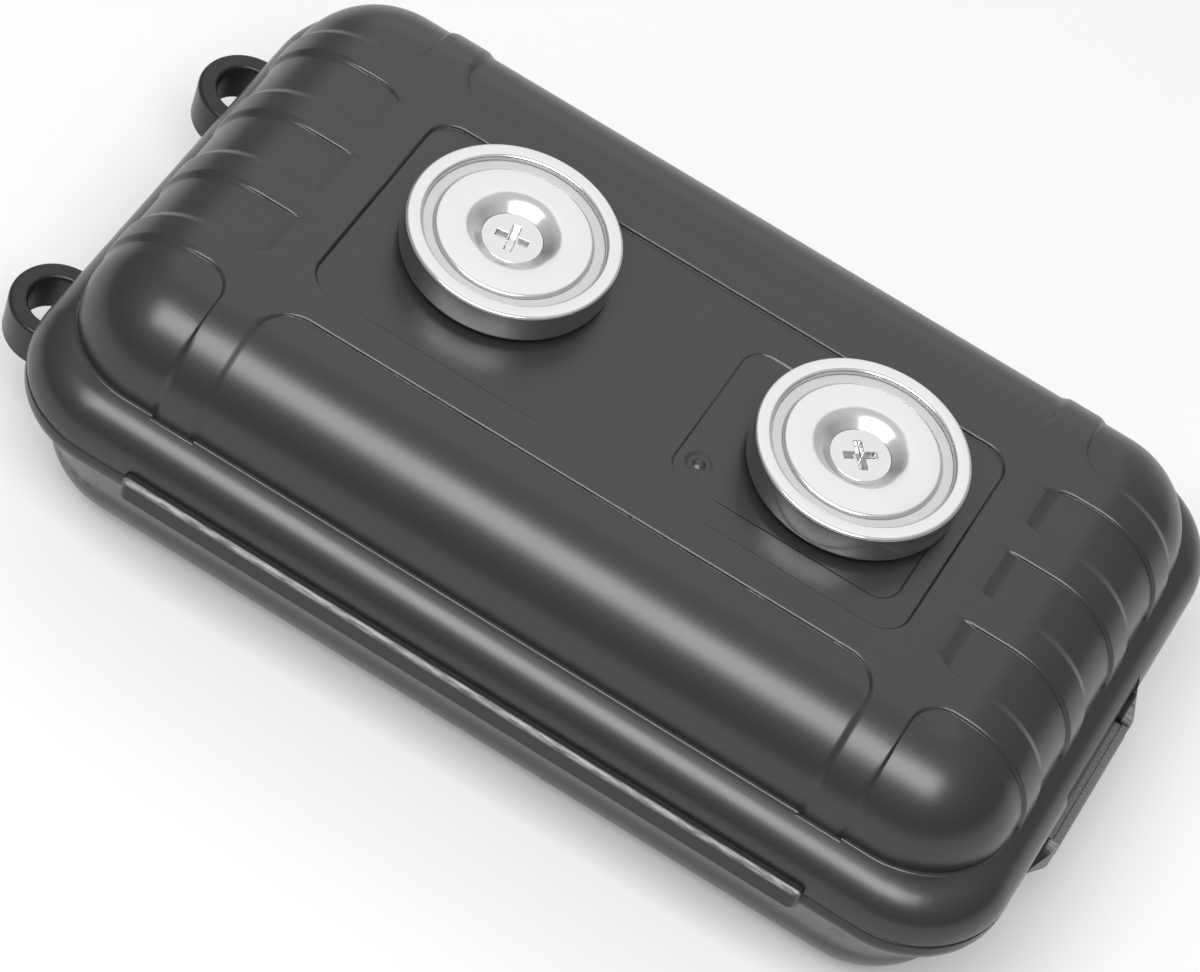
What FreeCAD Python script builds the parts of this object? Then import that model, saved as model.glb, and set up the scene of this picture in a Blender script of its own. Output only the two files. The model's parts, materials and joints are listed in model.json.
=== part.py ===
import FreeCAD, Part
import math
import os

import Sketcher

V = FreeCAD.Vector

doc = FreeCAD.newDocument("MagneticKeyHolderBox")

# ---------------------------------------------------------------- dimensions
# Millimetres. +X points to the latch end, +Y to the rear, +Z up.
# The origin is the middle of the bottom resting face.
DIMENSIONS = [
    # the two halves of the case
    ("case_length", 160.9, "over the joint flanges"),
    ("case_width", 98.0, "over the joint flanges"),
    ("lower_height", 27.4, "floor to the joint"),
    ("upper_height", 22.6, "joint to the top"),
    ("joint_gap", 0.1, "between the two rims"),
    ("flange_offset", 0.4, "flanges reach further at the latch end"),
    ("flange_corner_radius", 16.0, "in plan"),
    ("upper_flange_rise", 7.65, "height of the upper half's flange"),
    ("upper_crest_radius", 7.0, "rounded shoulder of the upper flange"),
    ("lower_flange_rise", 5.9, "height of the lower half's flange"),
    ("lower_crest_radius", 4.5, "rounded lower edge of the lower flange"),
    ("flange_rim_radius", 0.45, "outer edge at the joint"),
    ("skirt_top", 2.5, "sloped side begins below the joint"),
    ("skirt_foot", 12.5, "sloped side ends above the floor"),
    ("skirt_inset", 0.3, "sloped side inside the flange and the body"),
    ("skirt_corner_radius", 19.0, "sloped side in plan"),
    ("crown_length", 153.6, "body beyond the flange"),
    ("crown_width", 86.8, "body beyond the flange"),
    ("crown_corner_radius", 15.5, "in plan"),
    ("crown_edge_radius", 14.4, "big rounded edge of the body"),
    ("crown_foot_radius", 0.5, "where the body meets the flange"),
    ("cavity_length", 146.4, "inside, at the rim"),
    ("cavity_width", 80.0, "inside, at the rim"),
    ("cavity_corner_radius", 13.5, "in plan"),
    ("cavity_edge_radius", 10.0, "inside bottom and roof edges"),
    ("roof_thickness", 3.2, "upper half"),
    ("floor_thickness", 2.6, "lower half"),
    # ribs and sunk panels of the upper half
    ("recess_depth", 0.5, "sunk panels between the ribs"),
    ("end_rib_pitch", 15.1, "four ribs on each short end"),
    ("end_rib_width", 5.6, "ribs on the short ends"),
    ("end_rib_root", 55.6, "X where the end panels begin"),
    ("side_panel_end", 50.0, "X where the long side panels end"),
    ("corner_panel_start", 56.4, "X where the corner panels begin"),
    ("side_panel_radius", 6.0, "corners of the long side panels"),
    ("corner_panel_radius", 5.0, "inner corner of the corner panels"),
    ("end_panel_radius", 4.0, "outer corners of the end panels"),
    ("label_length", 97.6, "plain label field"),
    ("label_width", 39.8, "plain label field"),
    ("label_depth", 0.6, "plain label field"),
    ("label_radius", 4.5, "plain label field"),
    ("plate_length", 37.0, "small field inside the label field"),
    ("plate_width", 28.2, "small field inside the label field"),
    ("plate_depth", 0.2, "below the label field"),
    ("plate_radius", 3.5, "small field"),
    ("plate_x", 26.9, "centre of the small field"),
    ("plate_y", -0.9, "centre of the small field"),
    ("gate_x", 11.9, "moulding gate mark"),
    ("gate_y", -10.6, "moulding gate mark"),
    ("gate_radius", 1.9, "dimple of the gate mark"),
    ("gate_nub_radius", 0.8, "stub of the gate"),
    # side rails of the lower half
    ("rail_length", 112.0, "thumb rails over the joint"),
    ("rail_proud", 1.7, "beyond the flange"),
    ("rail_rise", 1.4, "above the joint"),
    ("rail_drop", 3.0, "below the joint"),
    ("rail_root", 1.2, "into the flange"),
    ("rail_gap", 0.1, "rail to the side of the upper flange"),
    ("rail_edge_radius", 0.7, "upper and lower edges"),
    ("rail_end_radius", 1.4, "in plan"),
    # seal
    ("seal_width", 1.6, "rubber ring"),
    ("seal_height", 1.5, "rubber ring"),
    ("seal_inset", 1.7, "middle of the seal outside the cavity"),
    ("seal_clearance", 0.1, "groove on each side of the ring"),
    # lanyard eyes
    ("eye_spacing", 52.9, "between the two eyes"),
    ("eye_reach", 1.1, "eye centre outside the flange"),
    ("eye_outer_radius", 7.3, "lanyard eye"),
    ("eye_hole_radius", 4.4, "lanyard eye"),
    ("eye_thickness", 7.4, "lanyard eye"),
    ("eye_drop", 3.0, "top of the eyes below the joint"),
    ("eye_edge_radius", 0.7, "lanyard eye"),
    # hinge
    ("hinge_inset", 1.8, "axis inside the flange's end"),
    ("knuckle_radius", 1.8, "hinge knuckles"),
    ("knuckle_length", 7.2, "hinge knuckles"),
    ("knuckle_gap", 0.3, "between neighbouring knuckles"),
    ("hinge_pin_radius", 0.9, "steel pin"),
    ("hinge_clearance", 0.06, "pin to the upper half's knuckles"),
    ("knuckle_clearance", 0.25, "knuckle to the slot around it"),
    ("hinge_relief", 2.4, "room under the lid's end when it swings"),
    ("hinge_relief_length", 82.0, "relief along the short end"),
    ("knuckle_root", 0.3, "knuckle webs into the flanges"),
    # latch
    ("latch_width", 25.2, "latch flap"),
    ("latch_gap", 0.3, "flap to lugs, flap to notches"),
    ("latch_axis_reach", 0.45, "pin axis outside the flange's end"),
    ("latch_axis_height", 17.5, "pin axis above the floor"),
    ("latch_pin_radius", 1.0, "steel pin"),
    ("latch_clearance", 0.06, "pin to flap"),
    ("latch_barrel_radius", 1.7, "barrel of the flap"),
    ("latch_grip_top", 20.0, "top of the finger grip"),
    ("latch_grip_reach", 1.95, "grip outside the flange's end"),
    ("latch_grip_thickness", 1.1, "finger grip"),
    ("latch_web_top", 19.7, "floor of the groove behind the grip"),
    ("latch_arm_thickness", 1.4, "spring arm behind the grip"),
    ("latch_arm_inset", 0.5, "arm's outer face inside the flange's end"),
    ("latch_bite", 3.0, "arm above the joint"),
    ("latch_nose", 0.5, "nose at the top of the arm"),
    ("notch_depth", 2.6, "notch for the arm in both flanges"),
    ("notch_height", 3.6, "notch above the joint"),
    ("lug_length", 6.8, "each latch lug, along Y"),
    ("lug_reach", 2.05, "lugs outside the flange's end"),
    ("lug_taper_reach", 0.15, "far side of the lugs outside the flange's end"),
    ("lug_flat", 1.0, "unsloped part of each lug"),
    ("lug_drop", 2.1, "lug below the pin axis"),
    ("lug_tip_height", 1.2, "far end of each lug, upright"),
    ("lug_top", 20.6, "top of the lugs"),
    ("lug_edge_radius", 0.5, "outer edges of the lugs"),
    ("latch_pin_bite", 1.6, "pin inside each lug"),
    # pot magnets
    ("left_magnet_x", -28.3, "middle of the magnet at the hinge end"),
    ("left_magnet_y", 3.3, "middle of the magnet at the hinge end"),
    ("right_magnet_x", 30.5, "middle of the magnet at the latch end"),
    ("right_magnet_y", 2.1, "middle of the magnet at the latch end"),
    ("cup_radius", 16.0, "steel cup"),
    ("cup_height", 5.9, "steel cup"),
    ("cup_floor", 1.3, "steel cup"),
    ("cup_bore_radius", 13.5, "steel cup"),
    ("cup_base_round", 1.3, "drawn corner of the cup"),
    ("cup_rim_round", 0.3, "outer edge of the rim"),
    ("magnet_radius", 11.8, "ring magnet"),
    ("magnet_sink", 0.4, "magnet face below the rim"),
    ("spacer_sink", 0.8, "spacer ring below the rim"),
    ("countersink_radius", 6.9, "mouth of the countersink"),
    ("countersink_round", 0.9, "lip of the countersink"),
    ("pad_radius", 14.2, "rubber sealing washer"),
    ("pad_thickness", 0.5, "rubber sealing washer"),
    # screws and nuts
    ("screw_hole_radius", 2.75, "cup, washers and roof"),
    ("screw_radius", 2.5, "M5 screw"),
    ("screw_head_radius", 4.6, "M5 countersunk head"),
    ("screw_head_rim", 0.35, "cylindrical edge of the head"),
    ("screw_head_sink", 1.9, "head below the rim of the cup"),
    ("screw_spare", 1.2, "thread beyond the nut"),
    ("driver_width", 1.15, "cross recess"),
    ("driver_span", 5.0, "cross recess"),
    ("driver_depth", 1.6, "cross recess"),
    ("left_driver_turn", 10.0, "cross recess, degrees"),
    ("right_driver_turn", 38.0, "cross recess, degrees"),
    ("washer_radius", 6.0, "steel washer under the nut"),
    ("washer_thickness", 1.0, "steel washer under the nut"),
    ("spare", 1.0, "how far cutting tools reach beyond a face"),
    ("nut_flats", 8.0, "M5 lock nut across flats"),
    ("nut_height", 4.0, "steel part of the lock nut"),
    ("insert_height", 1.2, "nylon ring of the lock nut"),
    ("insert_radius", 3.6, "nylon ring of the lock nut"),
]

SHEET = "Dimensions"
sheet = doc.addObject("Spreadsheet::Sheet", SHEET)
for row, (alias, value, note) in enumerate(DIMENSIONS, start=1):
    sheet.set(f"A{row}", alias)
    sheet.set(f"B{row}", str(value))
    sheet.setAlias(f"B{row}", alias)
    sheet.set(f"C{row}", note)
doc.recompute()

ALIASES = sorted((alias for alias, _, _ in DIMENSIONS), key=len, reverse=True)


def size(alias):
    """The value of one cell of the sheet."""
    return float(getattr(sheet, alias))


def bind(text):
    """Turn 'case_length / 2' into an expression on the sheet's cells."""
    words = []
    word = ""
    for letter in text + " ":
        if letter.isalnum() or letter == "_":
            word += letter
            continue
        words.append(f"{SHEET}.{word}" if word in ALIASES else word)
        words.append(letter)
        word = ""
    return "".join(words).strip()


def number(text):
    """Work out the same expression as a plain number."""
    total = doc.getObject(SHEET).evalExpression(bind(text))
    return float(getattr(total, "Value", total))


# ------------------------------------------------------------------- helpers
JOINT = "lower_height"
TOP = "(lower_height + upper_height)"
LID_RIM = "(lower_height + joint_gap)"
LEFT_END = "(flange_offset - case_length / 2)"
RIGHT_END = "(flange_offset + case_length / 2)"
LID_FLANGE_TOP = "(lower_height + upper_flange_rise)"
BASE_FLANGE_FOOT = "(lower_height - lower_flange_rise)"
HINGE_X = f"({LEFT_END} + hinge_inset)"
HINGE_Z = "(lower_height + joint_gap / 2)"
LATCH_X = f"({RIGHT_END} + latch_axis_reach)"
LABEL_FLOOR = f"({TOP} - label_depth)"
CUP_BASE = f"({LABEL_FLOOR} + pad_thickness)"
CUP_RIM = f"({CUP_BASE} + cup_height)"
HEAD_TOP = f"({CUP_RIM} - screw_head_sink)"
ROOF = f"({TOP} - roof_thickness)"
NUT_TOP = f"({ROOF} - washer_thickness)"
NUT_FOOT = f"({NUT_TOP} - nut_height)"
EYE_X = f"({LEFT_END} - eye_reach)"
EYE_TOP = "(lower_height - eye_drop)"
KNUCKLE_PITCH = "(knuckle_length + knuckle_gap)"
LOWER_KNUCKLES = ("-2", "0", "2")
UPPER_KNUCKLES = ("-1", "1")
LATCH_HALF = "(latch_width / 2 + latch_gap)"
LATCH_PIN_HALF = f"({LATCH_HALF} + latch_pin_bite)"
MAGNETS = {
    "left": ("left_magnet_x", "left_magnet_y", "left_driver_turn"),
    "right": ("right_magnet_x", "right_magnet_y", "right_driver_turn"),
}

TOUCH = 1e-3
FULL_TURN = 360
QUARTER_TURN = 90
HALF_TURN = 180


def new_body(label):
    return doc.addObject("PartDesign::Body", label)


def origin_plane(body, role):
    return next(f for f in body.Origin.OriginFeatures if f.Role == role)


def new_sketch(body, name, role="XY_Plane", height=None):
    """A sketch on an origin plane, lifted along the plane's normal."""
    sketch = body.newObject("Sketcher::SketchObject", f"{body.Name}_{name}")
    sketch.AttachmentSupport = (origin_plane(body, role), [""])
    sketch.MapMode = "FlatFace"
    if height is not None:
        sketch.setExpression("AttachmentOffset.Base.z", bind(height))
    return sketch


def new_sketch_alone(name, height):
    """A sketch outside any body, level at a height."""
    sketch = doc.addObject("Sketcher::SketchObject", name)
    sketch.setExpression("Placement.Base.z", bind(height))
    return sketch


def name_constraint(sketch, constraint, name, expression):
    index = sketch.addConstraint(constraint)
    sketch.renameConstraint(index, name)
    sketch.setExpression(f"Constraints.{name}", bind(expression))


def draw_rounded_rectangle(sketch, length, width, radius, x="0", y="0"):
    """A rectangle with four equal round corners around the point (x, y)."""
    a, b, r = number(length) / 2, number(width) / 2, number(radius)
    cx, cy = number(x), number(y)
    first = sketch.GeometryCount
    corners = [
        (a - r, r - b, -QUARTER_TURN), (a - r, b - r, 0),
        (r - a, b - r, QUARTER_TURN), (r - a, r - b, HALF_TURN),
    ]
    sides = [
        (V(r - a, -b, 0), V(a - r, -b, 0)),
        (V(a, r - b, 0), V(a, b - r, 0)),
        (V(a - r, b, 0), V(r - a, b, 0)),
        (V(-a, b - r, 0), V(-a, r - b, 0)),
    ]
    middle = V(cx, cy, 0)
    for (start, end), (px, py, angle) in zip(sides, corners):
        sketch.addGeometry(Part.LineSegment(start + middle, end + middle), False)
        circle = Part.Circle(V(px, py, 0) + middle, V(0, 0, 1), r)
        arc = Part.ArcOfCircle(circle, math.radians(angle), math.radians(angle + QUARTER_TURN))
        sketch.addGeometry(arc, False)
    for step in range(8):
        here, after = first + step, first + (step + 1) % 8
        sketch.addConstraint(Sketcher.Constraint("Tangent", here, 2, after, 1))
    for step, kind in ((0, "Horizontal"), (2, "Vertical"), (4, "Horizontal"), (6, "Vertical")):
        sketch.addConstraint(Sketcher.Constraint(kind, first + step))
    for step in (3, 5, 7):
        sketch.addConstraint(Sketcher.Constraint("Equal", first + 1, first + step))
    tag = f"r{first}"
    name_constraint(sketch, Sketcher.Constraint("Radius", first + 1, r), f"{tag}_radius", radius)
    name_constraint(
        sketch, Sketcher.Constraint("DistanceX", first + 6, 1, first + 2, 1, 2 * a),
        f"{tag}_length", length)
    name_constraint(
        sketch, Sketcher.Constraint("DistanceY", first, 1, first + 4, 1, 2 * b),
        f"{tag}_width", width)
    name_constraint(
        sketch, Sketcher.Constraint("DistanceX", -1, 1, first + 2, 1, cx + a),
        f"{tag}_right", f"{x} + ({length}) / 2")
    name_constraint(
        sketch, Sketcher.Constraint("DistanceY", -1, 1, first + 4, 1, cy + b),
        f"{tag}_rear", f"{y} + ({width}) / 2")


def draw_circle(sketch, radius, x="0", y="0"):
    index = sketch.addGeometry(
        Part.Circle(V(number(x), number(y), 0), V(0, 0, 1), number(radius)), False)
    tag = f"c{index}"
    name_constraint(sketch, Sketcher.Constraint("Radius", index, number(radius)), f"{tag}_radius", radius)
    name_constraint(
        sketch, Sketcher.Constraint("DistanceX", -1, 1, index, 3, number(x)), f"{tag}_x", x)
    name_constraint(
        sketch, Sketcher.Constraint("DistanceY", -1, 1, index, 3, number(y)), f"{tag}_y", y)


def draw_polygon(sketch, points):
    """A closed outline through points whose coordinates are expressions."""
    flat = [V(number(x), number(y), 0) for x, y in points]
    first = sketch.GeometryCount
    count = len(flat)
    for step in range(count):
        sketch.addGeometry(Part.LineSegment(flat[step], flat[(step + 1) % count]), False)
    for step in range(count):
        here, after = first + step, first + (step + 1) % count
        sketch.addConstraint(Sketcher.Constraint("Coincident", here, 2, after, 1))
    for step, (x, y) in enumerate(points):
        name_constraint(
            sketch, Sketcher.Constraint("DistanceX", -1, 1, first + step, 1, flat[step].x),
            f"p{first + step}_x", x)
        name_constraint(
            sketch, Sketcher.Constraint("DistanceY", -1, 1, first + step, 1, flat[step].y),
            f"p{first + step}_y", y)


def pad(body, sketch, length, midplane=False, downward=False):
    feature = body.newObject("PartDesign::Pad", f"{sketch.Name}_pad")
    feature.Profile = sketch
    feature.setExpression("Length", bind(length))
    feature.Midplane = midplane
    feature.Reversed = downward
    doc.recompute()
    return feature


def pocket(body, sketch, length):
    before = body.Shape.Volume
    feature = body.newObject("PartDesign::Pocket", f"{sketch.Name}_pocket")
    feature.Profile = sketch
    feature.setExpression("Length", bind(length))
    doc.recompute()
    if not feature.Shape.Volume < before - TOUCH:
        raise RuntimeError(f"{feature.Name} cuts nothing")
    return feature


def revolve(body, sketch):
    """Turn a profile drawn on the XZ plane once around the Z axis."""
    feature = body.newObject("PartDesign::Revolution", f"{sketch.Name}_turn")
    feature.Profile = sketch
    feature.ReferenceAxis = (sketch, ["V_Axis"])
    feature.Angle = FULL_TURN
    doc.recompute()
    return feature


def edges_at(shape, height, narrowest=0, widest=math.inf):
    """Names of the edges that lie flat at a height and span a length in X."""
    names = []
    for index, edge in enumerate(shape.Edges, start=1):
        bound = edge.BoundBox
        level = abs(bound.ZMin - height) < TOUCH and abs(bound.ZMax - height) < TOUCH
        if level and narrowest <= bound.XLength <= widest:
            names.append(f"Edge{index}")
    return names


def fillet(body, feature, edges, radius):
    rounding = body.newObject("PartDesign::Fillet", f"{feature.Name}_fillet")
    rounding.Base = (feature, edges)
    rounding.setExpression("Radius", bind(radius))
    doc.recompute()
    return rounding


def box(name, x_range, y_range, z_range):
    """A Part box between pairs of expressions."""
    feature = doc.addObject("Part::Box", name)
    for axis, side, (low, high) in zip("xyz", ("Length", "Width", "Height"), (x_range, y_range, z_range)):
        feature.setExpression(side, bind(f"({high}) - ({low})"))
        feature.setExpression(f"Placement.Base.{axis}", bind(low))
    return feature


def cylinder(name, radius, centre, length, axis="z"):
    """A Part cylinder centred on a point, along Y or rising along Z."""
    feature = doc.addObject("Part::Cylinder", name)
    feature.setExpression("Radius", bind(radius))
    feature.setExpression("Height", bind(length))
    x, y, z = centre
    if axis == "y":
        feature.Placement.Rotation = FreeCAD.Rotation(V(1, 0, 0), -QUARTER_TURN)
    feature.setExpression("Placement.Base.x", bind(x))
    feature.setExpression("Placement.Base.y", bind(y))
    feature.setExpression("Placement.Base.z", bind(z))
    return feature


def fuse(name, shapes):
    feature = doc.addObject("Part::MultiFuse", name)
    feature.Shapes = shapes
    return feature


def cut(name, base, tool):
    feature = doc.addObject("Part::Cut", name)
    feature.Base = base
    feature.Tool = tool
    return feature


def round_upright_edges(name, source, radius, chosen):
    """Round the upright edges of a box that the chosen test picks."""
    doc.recompute()
    feature = doc.addObject("Part::Fillet", name)
    feature.Base = source
    picked = []
    for index, edge in enumerate(source.Shape.Edges, start=1):
        low, high = edge.Vertexes[0].Point, edge.Vertexes[-1].Point
        upright = abs(low.x - high.x) < TOUCH and abs(low.y - high.y) < TOUCH
        if upright and chosen(low):
            picked.append((index, size(radius), size(radius)))
    feature.Edges = picked
    return feature


# -------------------------------------------------------- forms of the shell
def crown_form(label, inset, foot, end, upper):
    """The rounded body beyond a flange, drawn smaller by an inset."""
    body = new_body(label)
    sketch = new_sketch(body, "outline", height=foot)
    draw_rounded_rectangle(
        sketch, f"crown_length - 2 * {inset}", f"crown_width - 2 * {inset}",
        f"crown_corner_radius - {inset}")
    crown = pad(body, sketch, f"abs({end} - {foot})", downward=not upper)
    fillet(body, crown, edges_at(crown.Shape, number(end)), f"crown_edge_radius - {inset}")
    return body


def flange_form(label, upper):
    """The full plate of one flange, rounded at the joint and at its shoulder."""
    foot, crest = (LID_RIM, LID_FLANGE_TOP) if upper else (JOINT, BASE_FLANGE_FOOT)
    flange = new_body(label)
    sketch = new_sketch(flange, "outline", height=foot)
    draw_rounded_rectangle(
        sketch, "case_length", "case_width", "flange_corner_radius", "flange_offset")
    plate = pad(flange, sketch, f"abs({crest} - {foot})", downward=not upper)
    rim = fillet(flange, plate, edges_at(plate.Shape, number(foot)), "flange_rim_radius")
    crest_edges = edges_at(rim.Shape, number(crest))
    fillet(flange, rim, crest_edges, "upper_crest_radius" if upper else "lower_crest_radius")
    return flange


def soften_foot(name, source):
    """A small fillet where the ribbed body rises out of its flange."""
    doc.recompute()
    feature = doc.addObject("Part::Fillet", name)
    feature.Base = source
    feature.Edges = foot_edges(source.Shape)
    doc.recompute()
    return feature


def foot_edges(shape):
    """The edges where the upper body rises out of its flange, with their radius."""
    half_x, half_y = number("crown_length / 2") + TOUCH, number("crown_width / 2") + TOUCH
    radius = size("crown_foot_radius")
    low, high = number(f"{LID_FLANGE_TOP} - upper_crest_radius"), number(LID_FLANGE_TOP)
    picked = []
    for index, edge in enumerate(shape.Edges, start=1):
        bound = edge.BoundBox
        inside = max(abs(bound.XMin), abs(bound.XMax)) < half_x \
            and max(abs(bound.YMin), abs(bound.YMax)) < half_y
        if inside and bound.ZMin > low and bound.ZMax < high + TOUCH:
            picked.append((index, radius, radius))
    return picked


def skirt():
    """Sloped side of the lower half, from its flange down to its body."""
    low = new_sketch_alone("skirt_low", "skirt_foot")
    draw_rounded_rectangle(
        low, "crown_length - 2 * skirt_inset", "crown_width - 2 * skirt_inset",
        "crown_corner_radius - skirt_inset")
    high = new_sketch_alone("skirt_high", f"{JOINT} - skirt_top")
    draw_rounded_rectangle(
        high, "case_length - 2 * skirt_inset", "case_width - 2 * skirt_inset",
        "skirt_corner_radius", "flange_offset")
    doc.recompute()
    feature = doc.addObject("Part::Loft", "lower_skirt")
    feature.Sections = [low, high]
    feature.Solid = True
    feature.Ruled = True
    return feature


def cavity_form(label, upper):
    """The hollow of one half, with rounded bottom or roof edges."""
    body = new_body(label)
    rim, end = (LID_RIM, ROOF) if upper else (JOINT, "floor_thickness")
    sketch = new_sketch(body, "outline", height=rim)
    draw_rounded_rectangle(sketch, "cavity_length", "cavity_width", "cavity_corner_radius")
    hollow = pad(body, sketch, f"abs({end} - {rim})", downward=not upper)
    fillet(body, hollow, edges_at(hollow.Shape, number(end)), "cavity_edge_radius")
    return body


def ring_form(label, spread, foot, height):
    """A ring that follows the rim at the seal's place, of a given width."""
    body = new_body(label)
    sketch = new_sketch(body, "outline", height=foot)
    for sign in ("+", "-"):
        offset = f"(seal_inset {sign} {spread} / 2)"
        draw_rounded_rectangle(
            sketch, f"cavity_length + 2 * {offset}", f"cavity_width + 2 * {offset}",
            f"cavity_corner_radius + {offset}")
    pad(body, sketch, height)
    return body


def plan_form(label, outline, foot, height):
    """A plain prism above an outline drawn in plan by the given function."""
    body = new_body(label)
    sketch = new_sketch(body, "outline", height=foot)
    outline(sketch)
    pad(body, sketch, height)
    return body


# --------------------------------------------------- panels of the upper half
def panel_prism(name, x_range, y_range, radius, rounded_corner):
    """One sunk panel as a tall prism, with the chosen corners rounded."""
    block = box(f"{name}_block", x_range, y_range, (LID_RIM, f"{TOP} + spare"))
    return round_upright_edges(name, block, radius, rounded_corner)


def sunk_panels():
    """All the panels that lie below the ribs, except the label field."""
    beyond = "(crown_length / 2 + spare)"
    wide = "(crown_width / 2 + spare)"
    outer_rib = "(1.5 * end_rib_pitch + end_rib_width / 2)"
    low, high = number("end_rib_root"), number("corner_panel_start")
    panels = []
    for end in (1, -1):
        tag = "right" if end > 0 else "left"

        def span(start, stop):
            return (start, stop) if end > 0 else (f"-{stop}", f"-{start}")

        middle_half = "((end_rib_pitch - end_rib_width) / 2)"
        panels.append(box(f"{tag}_middle_panel", span("end_rib_root", beyond),
                          (f"-{middle_half}", middle_half), (LID_RIM, f"{TOP} + spare")))
        for side in (1, -1):
            place = "rear" if side > 0 else "front"
            inner = "(end_rib_pitch / 2 + end_rib_width / 2)"
            outer = "(1.5 * end_rib_pitch - end_rib_width / 2)"
            y_range = (inner, outer) if side > 0 else (f"-{outer}", f"-{inner}")
            panels.append(panel_prism(
                f"{tag}_{place}_end_panel", span("end_rib_root", beyond), y_range, "end_panel_radius",
                lambda p, s=side: abs(abs(p.x) - low) < TOUCH and abs(p.y) > number(inner) + TOUCH))
            y_range = (outer_rib, wide) if side > 0 else (f"-{wide}", f"-{outer_rib}")
            panels.append(panel_prism(
                f"{tag}_{place}_corner_panel", span("corner_panel_start", beyond), y_range,
                "corner_panel_radius",
                lambda p: abs(abs(p.x) - high) < TOUCH and abs(p.y) < number(wide) - TOUCH))
    for side in (1, -1):
        place = "rear" if side > 0 else "front"
        y_range = (outer_rib, wide) if side > 0 else (f"-{wide}", f"-{outer_rib}")
        panels.append(panel_prism(
            f"{place}_side_panel", ("-side_panel_end", "side_panel_end"), y_range, "side_panel_radius",
            lambda p: abs(p.y) < number(wide) - TOUCH))
    return fuse("sunk_panel_prisms", panels)


def label_fields():
    """The plain label field, the small field in it and the gate mark."""
    label = plan_form(
        "label_field",
        lambda s: draw_rounded_rectangle(s, "label_length", "label_width", "label_radius"),
        LABEL_FLOOR, "label_depth + spare")
    plate = plan_form(
        "plate_field",
        lambda s: draw_rounded_rectangle(s, "plate_length", "plate_width", "plate_radius",
                                         "plate_x", "plate_y"),
        f"{LABEL_FLOOR} - plate_depth", "plate_depth + spare")
    dimple = plan_form(
        "gate_dimple", lambda s: draw_circle(s, "gate_radius", "gate_x", "gate_y"),
        f"{LABEL_FLOOR} - 2 * plate_depth", "plate_depth + spare")
    nub = plan_form(
        "gate_nub", lambda s: draw_circle(s, "gate_nub_radius", "gate_x", "gate_y"),
        f"{LABEL_FLOOR} - 3 * plate_depth", "3 * plate_depth")
    return [label, plate, cut("gate_ring", dimple, nub)]


# -------------------------------------------------------------- joint details
def rail(side):
    """One thumb rail: rooted in the lower flange, its lip outside the upper one."""
    place = "rear" if side > 0 else "front"
    sign = "" if side > 0 else "-"
    outer, inner = "(case_width / 2 + rail_proud)", "(case_width / 2 - rail_root)"
    low, high = f"({JOINT} - rail_drop)", f"({JOINT} + rail_rise)"
    body = new_body(f"{place}_rail_block")
    sketch = new_sketch(body, "outline", height=low)
    draw_rounded_rectangle(
        sketch, "rail_length", f"({outer} - {inner})", "rail_end_radius",
        "0", f"{sign}({outer} + {inner}) / 2")
    block = pad(body, sketch, f"{high} - {low}")
    ends = edges_at(block.Shape, number(high)) + edges_at(block.Shape, number(low))
    fillet(body, block, ends, "rail_edge_radius")
    room = box(f"{place}_rail_room", ("-rail_length / 2 - spare", "rail_length / 2 + spare"),
               ("-case_width / 2 - rail_gap", "case_width / 2 + rail_gap"),
               (JOINT, f"{high} + spare"))
    return cut(f"{place}_rail", body, room)


def lanyard_eye(side):
    place = "rear" if side > 0 else "front"
    y = f"{'' if side > 0 else '-'}eye_spacing / 2"
    body = new_body(f"{place}_eye")
    sketch = new_sketch(body, "outline", height=f"{EYE_TOP} - eye_thickness")
    draw_circle(sketch, "eye_outer_radius", EYE_X, y)
    draw_circle(sketch, "eye_hole_radius", EYE_X, y)
    ring = pad(body, sketch, "eye_thickness")
    ends = edges_at(ring.Shape, number(EYE_TOP))
    ends += edges_at(ring.Shape, number(f"{EYE_TOP} - eye_thickness"))
    fillet(body, ring, ends, "eye_edge_radius")
    return body


def knuckle(name, place, spread, web):
    """A knuckle with its web, or with a spread the slot that clears it."""
    y = f"({place} * {KNUCKLE_PITCH} - knuckle_length / 2 - {spread})"
    length = f"(knuckle_length + 2 * {spread})"
    radius = "knuckle_radius" if spread == "0" else "(knuckle_radius + knuckle_clearance)"
    barrel = cylinder(f"{name}_barrel", radius, (HINGE_X, y, HINGE_Z), length, axis="y")
    low, high = web
    block = box(f"{name}_web", (f"{HINGE_X} - {radius}", f"{HINGE_X} + {radius}"),
                (y, f"{y} + {length}"), (low, high))
    return fuse(name, [barrel, block])


def hinge_bore(name, radius, reach="spare"):
    """A cylinder through all five knuckles, longer by a reach at each end."""
    length = f"(5 * knuckle_length + 4 * knuckle_gap + 2 * {reach})"
    return cylinder(name, radius, (HINGE_X, f"-{length} / 2", HINGE_Z), length, axis="y")


def hinge_relief():
    """Room in the lower flange for the lid's end as it swings down."""
    y_range = ("-hinge_relief_length / 2", "hinge_relief_length / 2")
    channel = cylinder(
        "relief_channel", "knuckle_radius + knuckle_clearance",
        (HINGE_X, y_range[0], HINGE_Z), "hinge_relief_length", axis="y")
    step = box("relief_step", (f"{HINGE_X} - 2 * hinge_inset", HINGE_X), y_range,
               (f"{HINGE_Z} - hinge_relief", f"{HINGE_Z} + knuckle_clearance"))
    return fuse("hinge_relief_form", [channel, step])


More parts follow.
